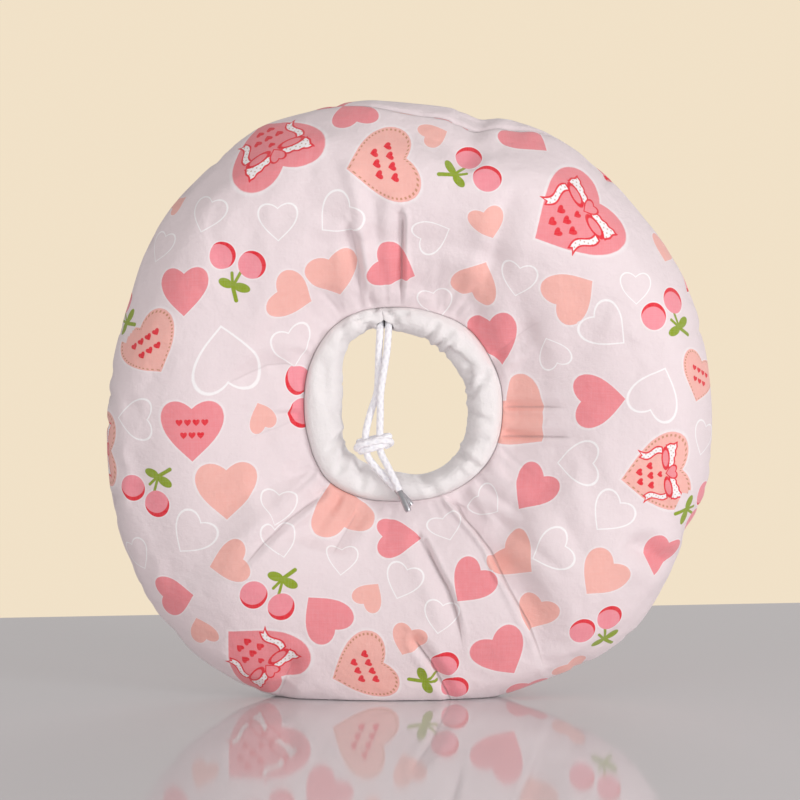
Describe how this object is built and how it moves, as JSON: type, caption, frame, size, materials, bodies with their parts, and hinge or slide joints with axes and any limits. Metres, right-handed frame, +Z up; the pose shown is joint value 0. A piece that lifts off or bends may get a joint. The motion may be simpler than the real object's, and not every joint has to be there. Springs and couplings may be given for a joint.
{
  "type": "cat recovery collar",
  "caption": "Soft stuffed cotton ring collar for a cat, standing on its flattened rim, with a white drawstring casing round the neck hole and a knotted cord.",
  "frame": {"origin": "centre of the underside of the ring's bounding box, on the surface that it stands on", "axes": "+Z up, the printed front face looks along -Y, +X to the right seen from the front"},
  "size_m": [0.3002, 0.071, 0.3007],
  "materials": {
    "printed_cotton": "matt woven cotton with a print of pink hearts and cherries",
    "stuffing": "white polyester filling, not seen",
    "white_cotton": "matt white cotton",
    "white_cord": "soft white braid",
    "tip_metal": "plain metal cord tip"
  },
  "bodies": {
    "root": {"front_panel": "printed_cotton", "back_panel": "printed_cotton", "filling": "stuffing", "neck_casing": "white_cotton", "drawstring_loop": "white_cord", "strand_left": "white_cord", "strand_right": "white_cord", "knot": "white_cord", "tail_left": "white_cord", "tail_right": "white_cord", "tip_left": "tip_metal", "tip_right": "tip_metal"}
  },
  "joints": []
}
